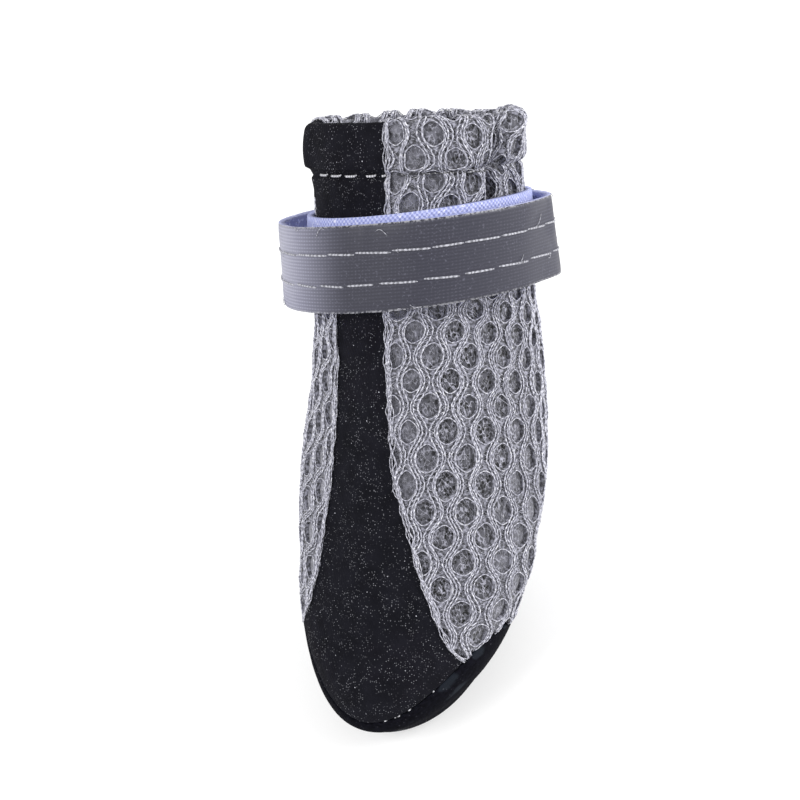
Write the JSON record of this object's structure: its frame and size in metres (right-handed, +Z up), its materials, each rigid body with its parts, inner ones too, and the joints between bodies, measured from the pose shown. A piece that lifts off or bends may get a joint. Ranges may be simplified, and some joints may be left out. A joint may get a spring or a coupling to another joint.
{
  "type": "dog boot",
  "caption": "Soft mesh dog boot with a dark front panel, folded hem, rubber cup sole, ankle tape and a slack reflective strap.",
  "frame": {"origin": "middle of the ball lug's flat ground face, under the middle of the sole", "axes": "+Z up out of the boot, -Y towards the toe, +X towards the boot's own left as it walks towards -Y"},
  "size_m": [0.0492, 0.0789, 0.1029],
  "materials": {
    "mesh_upper": "silver grey knitted spacer mesh with a black brushed front panel",
    "sole_rubber": "matt black moulded rubber",
    "insole_foam": "dark grey cloth on thin foam",
    "loop_tape": "pale lavender woven loop tape",
    "reflective_tape": "ribbed grey reflective tape with pale stitching"
  },
  "bodies": {
    "root": {"upper": "mesh_upper", "sole": "sole_rubber", "insole": "insole_foam", "ankle_tape": "loop_tape", "reflective_strap": "reflective_tape"}
  },
  "joints": []
}
